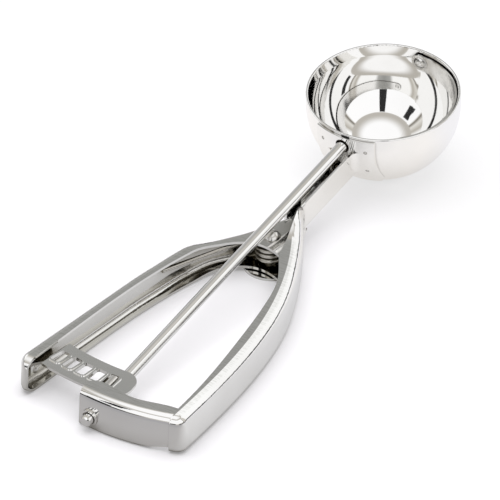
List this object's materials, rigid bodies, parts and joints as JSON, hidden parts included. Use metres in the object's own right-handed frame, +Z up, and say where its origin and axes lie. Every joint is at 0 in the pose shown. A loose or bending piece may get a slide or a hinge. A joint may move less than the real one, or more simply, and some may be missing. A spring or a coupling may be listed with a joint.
{
  "type": "lever ice cream scoop",
  "caption": "Ice cream scoop with a round bowl, two channel-section handles on a riveted hinge, and a rack and pinion that sweeps a wiper blade through the bowl when squeezed.",
  "frame": {"origin": "hinge axis where it meets the table the scoop lies on", "axes": "+X toward the bowl along the handle, +Y toward the squeeze lever, +Z up out of the bowl's mouth"},
  "size_m": [0.2336, 0.0699, 0.0366],
  "materials": {
    "polished_steel": "mirror polished stainless sheet",
    "satin_steel": "tumbled stainless steel",
    "rod_steel": "drawn and polished stainless rod",
    "spring_steel": "bright drawn spring wire"
  },
  "bodies": {
    "scoop_frame": {"bowl": "polished_steel", "frame": "polished_steel", "end_bracket": "polished_steel", "hinge_rivet": "satin_steel", "hinge_washer": "satin_steel", "spring_sleeve": "satin_steel", "torsion_spring": "spring_steel", "far_pivot_rivet": "satin_steel"},
    "squeeze_lever": {"lever_arm": "polished_steel", "rack_plate": "satin_steel", "rack_rivets": "satin_steel"},
    "wiper_drive": {"drive_shaft": "rod_steel", "pinion": "satin_steel", "pinion_pin": "satin_steel", "thrust_washer": "satin_steel", "wiper_blade": "satin_steel"}
  },
  "joints": [
    {"name": "lever_squeeze", "type": "hinge", "parent": "scoop_frame", "child": "squeeze_lever", "pos_m": [0, 0, 0], "axis": [0, 0, 1], "range_deg": [0, 8.7], "stiffness_Nm_per_rad": 1, "springref_deg": -28.65, "deforming": ["torsion_spring"]},
    {"name": "wiper_turn", "type": "hinge", "parent": "scoop_frame", "child": "wiper_drive", "pos_m": [0.07821, 0, 0.0286], "axis": [0.9933, 0, 0.1156], "range_deg": [0, 176]}
  ],
  "couplings": [
    {"joint": "wiper_turn", "follows": "lever_squeeze", "ratio": 20.163}
  ]
}
